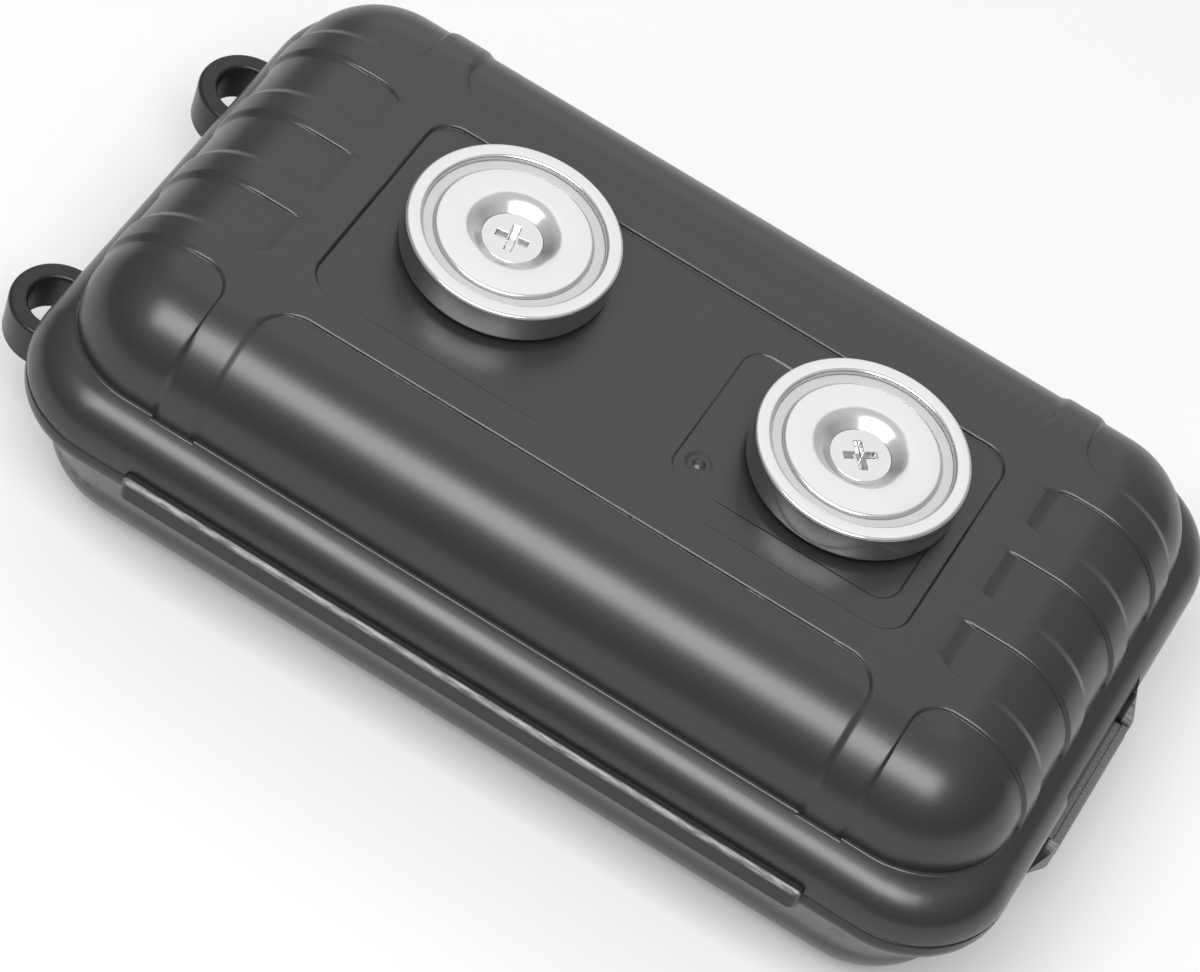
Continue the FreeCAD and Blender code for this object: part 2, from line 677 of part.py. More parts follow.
def latch_lug(side):
    """A lug that holds one end of the latch pin and runs out along the flange."""
    place = "rear" if side > 0 else "front"
    sign = "" if side > 0 else "-"
    root = "(crown_length / 2 - spare)"
    reach = f"({RIGHT_END} + lug_reach)"
    low, far = "(latch_axis_height - lug_drop)", f"({LATCH_HALF} + lug_length)"
    flat = f"({LATCH_HALF} + lug_flat)"
    plan = [
        (root, LATCH_HALF), (reach, LATCH_HALF), (reach, flat),
        (f"{RIGHT_END} + lug_taper_reach", far), (root, far),
    ]
    body = new_body(f"{place}_lug_plan")
    sketch = new_sketch(body, "outline", height=low)
    draw_polygon(sketch, [(x, f"{sign}({y})") for x, y in plan])
    block = pad(body, sketch, f"lug_top - {low}")
    edge_x = number(f"{RIGHT_END} + lug_taper_reach") + TOUCH
    outer = [f"Edge{index}" for index, edge in enumerate(block.Shape.Edges, start=1)
             if edge.CenterOfMass.x > edge_x]
    fillet(body, block, outer, "lug_edge_radius")
    front = [
        (LATCH_HALF, low), (flat, low), (far, "lug_top - lug_tip_height"), (far, "lug_top"),
        (LATCH_HALF, "lug_top"),
    ]
    view = new_body(f"{place}_lug_view")
    face = new_sketch(view, "outline", role="YZ_Plane", height=root)
    draw_polygon(face, [(f"{sign}({y})", z) for y, z in front])
    pad(view, face, f"{reach} - {root}")
    lug = doc.addObject("Part::MultiCommon", f"{place}_lug")
    lug.Shapes = [body, view]
    return lug


def latch_notch(name, low, high):
    return box(name, (f"{RIGHT_END} - notch_depth", f"{RIGHT_END} + spare"),
               (f"-{LATCH_HALF}", LATCH_HALF), (low, high))


def latch_pin_form(name, half_length):
    return cylinder(name, "latch_pin_radius", (LATCH_X, f"-{half_length}", "latch_axis_height"),
                    f"2 * {half_length}", axis="y")


# ---------------------------------------------------------------- sub-parts
def lower_shell():
    """Deep half: rim, thumb rails, lanyard eyes, hinge knuckles, latch lugs."""
    form = fuse("lower_form", [
        flange_form("lower_flange", upper=False),
        crown_form("lower_crown", "0", JOINT, "0", upper=False), skirt()])
    relieved = cut("lower_relieved", form, hinge_relief())
    additions = [relieved]
    for side in (1, -1):
        additions += [rail(side), lanyard_eye(side), latch_lug(side)]
    web = (f"{HINGE_Z} - hinge_relief - knuckle_root", HINGE_Z)
    for order, place in enumerate(LOWER_KNUCKLES, start=1):
        additions.append(knuckle(f"lower_knuckle_{order}", place, "0", web))
    tools = [
        cavity_form("lower_cavity", upper=False),
        ring_form("seal_groove", "(seal_width + 2 * seal_clearance)",
                  f"{JOINT} + joint_gap / 2 - seal_height", "seal_height + spare"),
        latch_notch("lower_notch", "latch_axis_height - lug_drop - spare", f"{JOINT} + spare"),
        hinge_bore("lower_hinge_bore", "hinge_pin_radius"),
        latch_pin_form("latch_pin_bore", LATCH_PIN_HALF),
    ]
    return cut("lower_shell", fuse("lower_blank", additions), fuse("lower_tools", tools))


def upper_shell():
    """Shallow half: ribs, sunk panels, label field, knuckles and notch."""
    crown = crown_form("upper_crown", "0", LID_RIM, TOP, upper=True)
    floor = crown_form("panel_floor", "recess_depth", LID_RIM, f"({TOP} - recess_depth)", True)
    panels = cut("sunk_panel_forms", sunk_panels(), floor)
    ribbed = cut("ribbed_crown", crown, panels)
    form = fuse("upper_form", [flange_form("upper_flange", upper=True), ribbed])
    additions = [soften_foot("upper_foot", form)]
    web = (HINGE_Z, f"{HINGE_Z} + joint_gap + knuckle_root")
    slot_web = (f"{HINGE_Z} - spare", f"{HINGE_Z} + hinge_relief")
    slots = [knuckle(f"knuckle_slot_{order}", place, "knuckle_gap", slot_web)
             for order, place in enumerate(LOWER_KNUCKLES, start=1)]
    for order, place in enumerate(UPPER_KNUCKLES, start=1):
        additions.append(knuckle(f"upper_knuckle_{order}", place, "0", web))
    tools = slots + label_fields() + [
        cavity_form("upper_cavity", upper=True),
        latch_notch("upper_notch", f"{JOINT} - spare", f"{JOINT} + notch_height"),
        hinge_bore("upper_hinge_bore", "hinge_pin_radius + hinge_clearance"),
    ]
    for side, (x, y, _) in MAGNETS.items():
        tools.append(cylinder(f"{side}_roof_hole", "screw_hole_radius", (x, y, f"{ROOF} - spare"),
                              "roof_thickness + 2 * spare"))
    return cut("upper_shell", fuse("upper_blank", additions), fuse("upper_tools", tools))


def lid_seal():
    return ring_form("lid_seal", "seal_width", f"{JOINT} + joint_gap / 2 - seal_height", "seal_height")


def hinge_pin():
    return hinge_bore("hinge_pin", "hinge_pin_radius", reach="0")


def latch_pin():
    return latch_pin_form("latch_pin", LATCH_PIN_HALF)


def latch():
    """Flap with a spring arm inside and a finger grip outside."""
    body = new_body("latch_plate")
    arm_outer = f"{RIGHT_END} - latch_arm_inset"
    arm_inner = f"{RIGHT_END} - latch_arm_inset - latch_arm_thickness"
    grip_outer = f"{RIGHT_END} + latch_grip_reach"
    arm_top = "lower_height + latch_bite"
    points = [
        (arm_inner, f"{BASE_FLANGE_FOOT}"), (arm_inner, f"{arm_top} - 2 * latch_nose"),
        (f"{arm_inner} - latch_nose", f"{arm_top} - latch_nose"),
        (f"{arm_inner} - latch_nose", arm_top), (arm_outer, arm_top),
        (arm_outer, "latch_web_top"), (f"{grip_outer} - latch_grip_thickness", "latch_web_top"),
        (f"{grip_outer} - latch_grip_thickness", "latch_grip_top"), (grip_outer, "latch_grip_top"),
        (grip_outer, "latch_axis_height"), (f"{LATCH_X} - latch_barrel_radius", "latch_axis_height"),
    ]
    sketch = new_sketch(body, "profile", role="XZ_Plane")
    draw_polygon(sketch, points)
    pad(body, sketch, "latch_width", midplane=True)
    y = "-latch_width / 2"
    barrel = cylinder("latch_barrel", "latch_barrel_radius", (LATCH_X, y, "latch_axis_height"),
                      "latch_width", axis="y")
    bore = cylinder("latch_bore", "latch_pin_radius + latch_clearance",
                    (LATCH_X, f"{y} - spare", "latch_axis_height"), "latch_width + 2 * spare",
                    axis="y")
    return cut("latch", fuse("latch_blank", [body, barrel]), bore)


def place_on_magnet(body, side, turn=False):
    x, y, angle = MAGNETS[side]
    if turn:
        body.Placement.Rotation = FreeCAD.Rotation(V(0, 0, 1), size(angle))
        body.setExpression("Placement.Rotation.Angle", f"{bind(angle)} * 1 deg")
    body.setExpression("Placement.Base.x", bind(x))
    body.setExpression("Placement.Base.y", bind(y))
    return body


def turned_body(label, points, side):
    """A body of revolution about its own Z axis, set on one magnet's axis."""
    body = new_body(label)
    sketch = new_sketch(body, "profile", role="XZ_Plane")
    draw_polygon(sketch, points)
    revolve(body, sketch)
    return place_on_magnet(body, side)


def washer_points(inner, outer, low, high):
    return [(inner, low), (outer, low), (outer, high), (inner, high)]


def magnet_cup(side):
    floor_top = f"({CUP_BASE} + cup_floor)"
    points = [
        ("screw_hole_radius", CUP_BASE), ("cup_radius", CUP_BASE), ("cup_radius", CUP_RIM),
        ("cup_bore_radius", CUP_RIM), ("cup_bore_radius", floor_top), ("screw_hole_radius", floor_top),
    ]
    body = turned_body(f"{side}_magnet_cup", points, side)
    for height, radius in ((CUP_BASE, "cup_base_round"), (CUP_RIM, "cup_rim_round")):
        across = number("2 * cup_radius") - TOUCH
        outer = edges_at(body.Tip.Shape, number(height), narrowest=across)
        fillet(body, body.Tip, outer, radius)
    return body


def ring_magnet(side):
    low, high = f"({CUP_BASE} + cup_floor)", f"({CUP_RIM} - magnet_sink)"
    head_low = f"({HEAD_TOP} - screw_head_rim)"
    cone_drop = "(screw_head_radius - screw_hole_radius)"
    points = [
        ("screw_hole_radius", low), ("magnet_radius", low), ("magnet_radius", high),
        ("countersink_radius", high), ("screw_head_radius", HEAD_TOP), ("screw_head_radius", head_low),
        ("screw_hole_radius", f"{head_low} - {cone_drop}"),
    ]
    body = turned_body(f"{side}_ring_magnet", points, side)
    across = number("2 * countersink_radius") + TOUCH
    lip = edges_at(body.Tip.Shape, number(high), widest=across)
    fillet(body, body.Tip, lip, "countersink_round")
    return body


def spacer_ring(side):
    low, high = f"({CUP_BASE} + cup_floor)", f"({CUP_RIM} - spacer_sink)"
    points = washer_points("magnet_radius", "cup_bore_radius", low, high)
    return turned_body(f"{side}_spacer_ring", points, side)


def magnet_screw(side):
    head_low = f"({HEAD_TOP} - screw_head_rim)"
    neck = f"({head_low} - (screw_head_radius - screw_radius))"
    tail = f"({NUT_FOOT} - insert_height - screw_spare)"
    points = [
        ("0", tail), ("screw_radius", tail), ("screw_radius", neck), ("screw_head_radius", head_low),
        ("screw_head_radius", HEAD_TOP), ("0", HEAD_TOP),
    ]
    body = turned_body(f"{side}_magnet_screw", points, side)
    near, far = "driver_width / 2", "driver_span / 2"
    cross = [
        (far, near), (near, near), (near, far), (f"-{near}", far), (f"-{near}", near), (f"-{far}", near),
        (f"-{far}", f"-{near}"), (f"-{near}", f"-{near}"), (f"-{near}", f"-{far}"),
        (near, f"-{far}"), (near, f"-{near}"), (far, f"-{near}"),
    ]
    sketch = new_sketch(body, "driver", height=HEAD_TOP)
    draw_polygon(sketch, cross)
    pocket(body, sketch, "driver_depth")
    return place_on_magnet(body, side, turn=True)


def sealing_washer(side):
    points = washer_points("screw_hole_radius", "pad_radius", LABEL_FLOOR, CUP_BASE)
    return turned_body(f"{side}_sealing_washer", points, side)


def backing_washer(side):
    points = washer_points("screw_hole_radius", "washer_radius", NUT_TOP, ROOF)
    return turned_body(f"{side}_backing_washer", points, side)


def lock_nut(side):
    body = new_body(f"{side}_lock_nut")
    sketch = new_sketch(body, "outline", height=NUT_FOOT)
    reach = "nut_flats / sqrt(3)"
    half = "nut_flats / 2"
    corners = [
        (reach, "0"), (f"{reach} / 2", half), (f"-{reach} / 2", half), (f"-{reach}", "0"),
        (f"-{reach} / 2", f"-{half}"), (f"{reach} / 2", f"-{half}"),
    ]
    draw_polygon(sketch, corners)
    draw_circle(sketch, "screw_radius")
    pad(body, sketch, "nut_height")
    return place_on_magnet(body, side)


def nut_insert(side):
    points = washer_points("screw_radius", "insert_radius", f"({NUT_FOOT} - insert_height)", NUT_FOOT)
    return turned_body(f"{side}_nut_insert", points, side)


# ------------------------------------------------------------------- export
def build_all():
    parts = [lower_shell(), upper_shell(), lid_seal(), hinge_pin(), latch(), latch_pin()]
    for side in MAGNETS:
        parts += [
            magnet_cup(side), ring_magnet(side), spacer_ring(side), magnet_screw(side),
            sealing_washer(side), backing_washer(side), lock_nut(side), nut_insert(side),
        ]
    return parts


def check(parts):
    """Stop if any object failed or any sub-part is not a sound solid."""
    doc.recompute()
    for item in doc.Objects:
        if "Invalid" in item.State or "Error" in item.State:
            raise RuntimeError(f"{item.Name}: {item.State}")
    for item in parts:
        shape = item.Shape
        if shape.isNull() or not shape.isValid() or len(shape.Solids) != 1:
            raise RuntimeError(f"{item.Label}: not one sound solid ({len(shape.Solids)})")


parts = build_all()
check(parts)
os.makedirs("parts", exist_ok=True)
for item in parts:
    item.Shape.exportStep(f"parts/{item.Label}.step")
    print(f"{item.Label:24s} {item.Shape.Volume:12.2f} mm3")
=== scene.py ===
import json
import math

import bmesh
import bpy
import numpy as np
from mathutils import Matrix, Vector


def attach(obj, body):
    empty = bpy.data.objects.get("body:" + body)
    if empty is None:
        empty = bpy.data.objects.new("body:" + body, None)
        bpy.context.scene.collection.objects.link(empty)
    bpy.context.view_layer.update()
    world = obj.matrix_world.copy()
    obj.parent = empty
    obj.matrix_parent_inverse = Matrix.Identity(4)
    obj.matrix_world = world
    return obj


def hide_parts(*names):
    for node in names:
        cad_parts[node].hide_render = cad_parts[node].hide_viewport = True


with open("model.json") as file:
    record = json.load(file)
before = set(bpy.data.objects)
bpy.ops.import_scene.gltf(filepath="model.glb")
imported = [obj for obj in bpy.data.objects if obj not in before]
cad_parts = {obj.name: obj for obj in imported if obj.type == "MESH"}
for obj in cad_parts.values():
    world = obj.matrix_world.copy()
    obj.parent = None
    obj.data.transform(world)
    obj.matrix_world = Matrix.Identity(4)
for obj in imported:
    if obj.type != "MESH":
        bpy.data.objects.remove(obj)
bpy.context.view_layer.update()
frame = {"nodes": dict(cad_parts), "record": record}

MM = 0.001
scene = bpy.context.scene
scene.view_settings.view_transform = "Standard"

# ------------------------------------------------------------------ camera
# Worked out from the ellipses of the magnets and the long edges of the case, in mm.
CAMERA_PLACE = Vector((76.86, -426.56, 557.23)) * MM
CAMERA_TARGET = Vector((2.598, -23.982, 50.0)) * MM
CAMERA_ROLL = math.radians(23.109)
CAMERA_LENS = 140.458
SENSOR_WIDTH = 36.0
CLIP_START = 0.01


def make_camera():
    data = bpy.data.cameras.new("camera")
    data.lens = CAMERA_LENS
    data.sensor_width = SENSOR_WIDTH
    data.sensor_fit = "HORIZONTAL"
    data.clip_start = CLIP_START
    camera = bpy.data.objects.new("camera", data)
    scene.collection.objects.link(camera)
    look = (CAMERA_TARGET - CAMERA_PLACE).to_track_quat("-Z", "Y").to_matrix().to_4x4()
    roll = Matrix.Rotation(CAMERA_ROLL, 4, "Z")
    camera.matrix_world = Matrix.Translation(CAMERA_PLACE) @ look @ roll
    scene.camera = camera


# ---------------------------------------------------------------- materials
# Noise scales are waves per metre.
PLASTIC_SMUDGES, METAL_SMUDGES, DULL_SMUDGES = 60.0, 150.0, 200.0
GRAIN_SCALE, GRAIN_STRENGTH, GRAIN_DEPTH = 2500.0, 0.05, 0.0001
PLASTIC_IOR = 1.5
PLASTIC_ROUGH = (0.28, 0.33)
# the painted highlight on rail, lug and grip tops: slant of its streaks, its roughness, and its
# least share between streaks
STREAK_SLANT = math.radians(12)
SHEEN_ROUGH = 0.6
FEWEST_STREAKS = 0.35
# the part of a noise's range that a ramp goes over: the wider, the softer
SOFT_SPREAD, STREAK_SPREAD = (0.15, 0.85), (0.38, 0.62)
# added to a plated metal's roughness below a height, over a fade in mm
SATIN, SATIN_FADE = 0.08, 0.4


def new_material(name, color):
    material = bpy.data.materials.new(name)
    material.use_nodes = True
    tree = material.node_tree
    tree.nodes.clear()
    output = tree.nodes.new("ShaderNodeOutputMaterial")
    shader = tree.nodes.new("ShaderNodeBsdfPrincipled")
    shader.inputs["Base Color"].default_value = (*color, 1.0)
    tree.links.new(shader.outputs["BSDF"], output.inputs["Surface"])
    return material, tree, shader


def object_place(tree):
    return tree.nodes.new("ShaderNodeTexCoord").outputs["Object"]


def split(tree, vector):
    parts = tree.nodes.new("ShaderNodeSeparateXYZ")
    tree.links.new(vector, parts.inputs[0])
    return parts.outputs


def calculate(tree, operation, *sockets):
    node = tree.nodes.new("ShaderNodeMath")
    node.operation = operation
    for k, socket in enumerate(sockets):
        tree.links.new(socket, node.inputs[k])
    return node.outputs[0]


def add_noise(tree, vector, scale, detail=3.0):
    noise = tree.nodes.new("ShaderNodeTexNoise")
    noise.inputs["Scale"].default_value = scale
    noise.inputs["Detail"].default_value = detail
    tree.links.new(vector, noise.inputs["Vector"])
    return noise.outputs["Fac"]


def add_ramp(tree, source, low, high, start=0.35, stop=0.65):
    """Go from low to high as the source goes from start to stop."""
    ramp = tree.nodes.new("ShaderNodeMapRange")
    ramp.inputs["From Min"].default_value = start
    ramp.inputs["From Max"].default_value = stop
    ramp.inputs["To Min"].default_value = low
    ramp.inputs["To Max"].default_value = high
    tree.links.new(source, ramp.inputs["Value"])
    return ramp.outputs["Result"]


def add_bump(tree, shader, source, strength, distance):
    bump = tree.nodes.new("ShaderNodeBump")
    bump.inputs["Strength"].default_value = strength
    bump.inputs["Distance"].default_value = distance
    tree.links.new(source, bump.inputs["Height"])
    tree.links.new(bump.outputs["Normal"], shader.inputs["Normal"])


def add_streaked_sheen(tree, boxes, grain):
    """Pale streaks inside boxes of (axis, from, to) limits in mm: a painted highlight laid over a
    streaked grain.
    """
    place = object_place(tree)
    slant = tree.nodes.new("ShaderNodeMapping")
    slant.inputs["Rotation"].default_value = (0, 0, STREAK_SLANT)
    slant.inputs["Scale"].default_value = grain
    tree.links.new(place, slant.inputs["Vector"])
    streak = add_noise(tree, slant.outputs["Vector"], 1.0)
    streaks = add_ramp(tree, streak, FEWEST_STREAKS, 1.0, *STREAK_SPREAD)
    parts = split(tree, place)
    total = None
    for limits in boxes:
        mask = None
        for axis, begin, full in limits:
            value = parts[axis[-1]]
            if axis.startswith("abs"):
                value = calculate(tree, "ABSOLUTE", value)
            share = add_ramp(tree, value, 0.0, 1.0, begin * MM, full * MM)
            mask = share if mask is None else calculate(tree, "MULTIPLY", mask, share)
        total = mask if total is None else calculate(tree, "MAXIMUM", total, mask)
    return calculate(tree, "MULTIPLY", total, streaks)


def black_plastic(name="black_abs", color=(0.020, 0.020, 0.021), sheen_boxes=(), pale=0.36,
                  grain_size=(350, 2600, 2600), specular=0.6):
    """Moulded black plastic. Inside each box, in mm, it is painted pale in streaks: a painted
    highlight over a streaked grain.
    """
    material, tree, shader = new_material(name, color)
    shader.inputs["IOR"].default_value = PLASTIC_IOR
    shader.inputs["Specular IOR Level"].default_value = specular
    smudge = add_noise(tree, object_place(tree), PLASTIC_SMUDGES)
    gloss = add_ramp(tree, smudge, *PLASTIC_ROUGH, *SOFT_SPREAD)
    grain = add_noise(tree, object_place(tree), GRAIN_SCALE, detail=2.0)
    add_bump(tree, shader, grain, GRAIN_STRENGTH, GRAIN_DEPTH)
    if not sheen_boxes:
        tree.links.new(gloss, shader.inputs["Roughness"])
        return material
    sheen = add_streaked_sheen(tree, sheen_boxes, grain_size)
    # the pale paint inside the boxes is a painted highlight
    paint = tree.nodes.new("ShaderNodeMix")
    paint.data_type = "RGBA"
    paint.inputs["A"].default_value = (*color, 1.0)
    paint.inputs["B"].default_value = (pale, pale, pale, 1.0)
    tree.links.new(sheen, paint.inputs["Factor"])
    tree.links.new(paint.outputs["Result"], shader.inputs["Base Color"])
    dull = tree.nodes.new("ShaderNodeMix")
    dull.inputs["B"].default_value = SHEEN_ROUGH
    tree.links.new(sheen, dull.inputs["Factor"])
    tree.links.new(gloss, dull.inputs["A"])
    tree.links.new(dull.outputs["Result"], shader.inputs["Roughness"])
    return material


def bright_metal(name, color, rough, satin_below=None):
    """Plated metal. Below a height in mm, its surface is satin."""
    material, tree, shader = new_material(name, color)
    shader.inputs["Metallic"].default_value = 1.0
    smudge = add_noise(tree, object_place(tree), METAL_SMUDGES)
    gloss = add_ramp(tree, smudge, *rough)
    if satin_below is not None:
        height = split(tree, object_place(tree))["Z"]
        satin = add_ramp(tree, height, SATIN, 0.0, (satin_below - SATIN_FADE) * MM,
                         satin_below * MM)
        gloss = calculate(tree, "ADD", gloss, satin)
    tree.links.new(gloss, shader.inputs["Roughness"])
    return material


def dull_solid(name, color, rough):
    material, tree, shader = new_material(name, color)
    smudge = add_noise(tree, object_place(tree), DULL_SMUDGES)
    tree.links.new(add_ramp(tree, smudge, *rough), shader.inputs["Roughness"])
    return material


# painted highlight: the tops of the thumb rails, the latch's lugs and its grip are painted pale in
# streaks for the light they catch
RAIL_TOP = (("abs Y", 49.9, 50.1), ("Z", 27.9, 28.6))
LUG_TOP = (("X", 81.2, 81.5), ("Z", 19.4, 20.2), ("Y", -16.0, -14.0))
GRIP_TOP = (("X", 80.4, 80.9), ("Z", 19.0, 19.6))
PAINTED_LIGHT_NODES = {
    # the lower shell is a darker copy of the black plastic with weaker reflections: painted shade
    # on its lower sides
    "lower_shell": black_plastic("black_abs_shaded_rail_sheen", (0.016, 0.016, 0.017),
                                 sheen_boxes=(RAIL_TOP, LUG_TOP), specular=0.35),
    "latch": black_plastic("black_abs_grip_sheen", sheen_boxes=(GRIP_TOP,), pale=0.24,
                           grain_size=(6000, 4000, 6000)),
}
# below this height, a magnet cup's outer wall is satin
CUP_SATIN_BELOW = 55.3
MATERIALS = {
    "black_abs": black_plastic(),
    "black_rubber": dull_solid("black_rubber", (0.02, 0.02, 0.02), (0.6, 0.75)),
    "steel_pin": bright_metal("steel_pin", (0.6, 0.6, 0.62), (0.28, 0.36)),
    "nickel_steel": bright_metal("nickel_steel", (0.68, 0.68, 0.675), (0.12, 0.18),
                                 CUP_SATIN_BELOW),
    "nickel_magnet": bright_metal("nickel_magnet", (0.69, 0.69, 0.685), (0.16, 0.22)),
    "grey_resin": dull_solid("grey_resin", (0.5, 0.5, 0.5), (0.4, 0.5)),
    "zinc_screw": bright_metal("zinc_screw", (0.66, 0.66, 0.67), (0.20, 0.26)),
    "white_nylon": dull_solid("white_nylon", (0.8, 0.8, 0.77), (0.4, 0.5)),
}

# ------------------------------------------------------------- edges, in mm
MOULDED_EDGE, SCREW_EDGE = 0.25, 0.15
SOFT_EDGES = {
    "lower_shell": MOULDED_EDGE, "latch": MOULDED_EDGE,
    "left_magnet_screw": SCREW_EDGE, "right_magnet_screw": SCREW_EDGE,
}
WELD_DISTANCE = 0.002
FLAT_ANGLE = math.radians(0.5)
SHARP_EDGE = math.radians(28)
SHADING_BREAK = math.radians(35)


def soften(piece, width):
    """Round the sharp edges of a moulded or turned piece."""
    weld = piece.modifiers.new("weld", "WELD")
    weld.merge_threshold = WELD_DISTANCE * MM
    merge = piece.modifiers.new("merge_flats", "DECIMATE")
    merge.decimate_type = "DISSOLVE"
    merge.angle_limit = FLAT_ANGLE
    bevel = piece.modifiers.new("soft_edges", "BEVEL")
    bevel.limit_method = "ANGLE"
    bevel.angle_limit = SHARP_EDGE
    bevel.width = width * MM
    bevel.segments = 3
    bevel.use_clamp_overlap = True
    bevel.harden_normals = True


def dress_nodes():
    slots = {s["node"]: s["material_slot"] for s in frame["record"]["subparts"]}
    for name, node in frame["nodes"].items():
        node.data.materials.clear()
        node.data.materials.append(PAINTED_LIGHT_NODES.get(name, MATERIALS[slots[name]]))
        if name in SOFT_EDGES:
            soften(node, SOFT_EDGES[name])


# ------------------------------------------------------------ ribbed crown
# All sizes in mm, in the frame of the solids.
CROWN_HALF = (76.8, 43.4)
CROWN_TOP = 50.0
CROWN_CORNER = 15.5
CROWN_EDGE = 14.4
CROWN_WAIST, CROWN_FOOT = 34.8, 33.9
RECESS = 0.5
# a crisp border slopes down over its upper part and then drops
BORDER_UPPER, BORDER_STEEP = 0.28, 0.14
SLOPE_SHARE = 0.4
SOFT_BORDER = 1.7
ROOT_BORDER = 3.2
# borders soften over this length from these places on, down the ends and the sides
FADE_LENGTH = 6.0
END_FADE, SIDE_FADE, CORNER_FADE = 61.0, 27.0, 35.0
# where the end panels and corner panels start, and where the side panels stop
END_ROOT, CORNER_ROOT, SIDE_END = 55.6, 56.4, 50.0
RIB_MIDDLE = 53.0
OUTER_RIB = 25.45
END_PANEL = (10.35, 19.85)
MIDDLE_PANEL = 4.75
# an end's ribs and panels, counted from its middle line, lie this far apart
RIB_SPACING, END_ROWS = 7.55, (-4, 3)
SIDE_RADIUS, CORNER_RADIUS, ROOT_RADIUS, PANEL_RADIUS = 6.0, 5.0, 4.0, 0.3
LABEL_HALF, LABEL_RADIUS, LABEL_DEPTH = (48.8, 19.9), 4.5, 0.6
PLATE_CENTRE, PLATE_HALF = (26.9, -0.9), (18.5, 14.1)
PLATE_RADIUS, PLATE_DEPTH, PLATE_BORDER = 3.5, 0.2, 0.3
# the moulding mark: a sunk disc with a raised middle
GATE, GATE_RADII, GATE_BORDER = (11.9, -10.6), (1.9, 0.8), 0.6
SCREW_HOLES = ((-28.3, 3.3), (30.5, 2.1))
SCREW_HOLE_RADIUS = 2.75
# far enough to lie outside the crown
BEYOND = 50.0

# how close the skin's mesh lines are
FINE, MEDIUM, ROUGH = 0.1, 0.22, 0.45
COARSE_X, COARSE_Y = 2.5, 2.0
HOLE_ZONE, HOLE_REACH = 3.2, 2.0
ARC_STEPS = 24
# the rim's rings: at even steps near the flat top, then at even turns down to the wall
RIM_STEP, RIM_NEAR, RIM_TURNS = 0.2, 4.3, 26
# two skin faces nearer to flat than this are joined
SKIN_FLAT_ANGLE = math.radians(0.04)


def ease(value):
    value = np.clip(value, 0.0, 1.0)
    return value * value * (3.0 - 2.0 * value)


def inside(x, y, centre, half, radius):
    """Distance to a rounded rectangle's outline, below zero inside it."""
    across = np.abs(x - centre[0]) - (half[0] - radius)
    along = np.abs(y - centre[1]) - (half[1] - radius)
    distance = np.hypot(np.maximum(across, 0), np.maximum(along, 0))
    return distance + np.minimum(np.maximum(across, along), 0) - radius


def step_down(distance, depth):
    """A crisp border that slopes down and then drops to the sunk face."""
    slope = np.clip((BORDER_UPPER / 2 - distance) / BORDER_UPPER, 0, 1)
    drop = np.clip((-BORDER_UPPER / 2 - distance) / BORDER_STEEP, 0, 1)
    return depth * (SLOPE_SHARE * slope + (1 - SLOPE_SHARE) * drop)


def soft_step(distance, depth, width):
    """A rounded border of the given width."""
    return depth * ease(0.5 - distance / width)


def border(distance, depth, softness):
    """A crisp border, or a gentle one where the softness is 1."""
    gentle = soft_step(distance, depth, SOFT_BORDER)
    return step_down(distance, depth) * (1 - softness) + gentle * softness


def sunk(x, y):
    """How far the surface lies below the ribs."""
    wide, deep = np.abs(x), np.abs(y)
    # the borders fade down the sides and ends, but not those of the right end that face the front
    faces_back = np.clip(np.floor(y / RIB_SPACING), *END_ROWS) % 2
    down_end = ease((wide - END_FADE) / FADE_LENGTH) * np.where(x > 0, faces_back, 1.0)
    down_side = ease((deep - np.where(wide < RIB_MIDDLE, SIDE_FADE, CORNER_FADE)) / FADE_LENGTH)
    middle = sum(END_PANEL) / 2
    half = (END_PANEL[1] - END_PANEL[0]) / 2
    far = np.minimum(
        inside(wide, deep, (0, OUTER_RIB + BEYOND), (SIDE_END, BEYOND), SIDE_RADIUS),
        inside(wide, deep, (CORNER_ROOT + BEYOND, OUTER_RIB + BEYOND), (BEYOND, BEYOND),
               CORNER_RADIUS))
    reach = BEYOND + ROOT_BORDER
    near = np.minimum(
        inside(wide, deep, (END_ROOT + BEYOND, 0), (reach, MIDDLE_PANEL), PANEL_RADIUS),
        inside(wide, deep, (END_ROOT + BEYOND, middle), (reach, half),
               np.where(deep > middle, ROOT_RADIUS + ROOT_BORDER, PANEL_RADIUS)))
    depth = border(far, RECESS, np.maximum(down_side, down_end))
    depth += border(near, RECESS, down_end) * ease(0.5 + (wide - END_ROOT) / ROOT_BORDER)
    depth += step_down(inside(x, y, (0, 0), LABEL_HALF, LABEL_RADIUS), LABEL_DEPTH)
    depth += soft_step(inside(x, y, PLATE_CENTRE, PLATE_HALF, PLATE_RADIUS), PLATE_DEPTH,
                       PLATE_BORDER)
    for radius, step in zip(GATE_RADII, (PLATE_DEPTH, -2 * PLATE_DEPTH)):
        depth += soft_step(inside(x, y, GATE, (radius, radius), radius), step, GATE_BORDER)
    return depth


def lines(limit, zones, coarse):
    """Mesh lines from -limit to limit, as close together as the zones ask."""
    knots = {-limit, limit}
    knots |= {round(min(max(v, -limit), limit), 6) for low, high, _ in zones for v in (low, high)}
    knots = sorted(knots)
    found = [-limit]
    for start, stop in zip(knots, knots[1:]):
        middle = (start + stop) / 2
        step = min([coarse] + [fine for low, high, fine in zones if low <= middle <= high])
        count = max(1, math.ceil((stop - start) / step))
        found += list(np.linspace(start, stop, count + 1)[1:])
    return np.array(found)


def both_sides(*zones):
    return list(zones) + [(-high, -low, step) for low, high, step in zones]


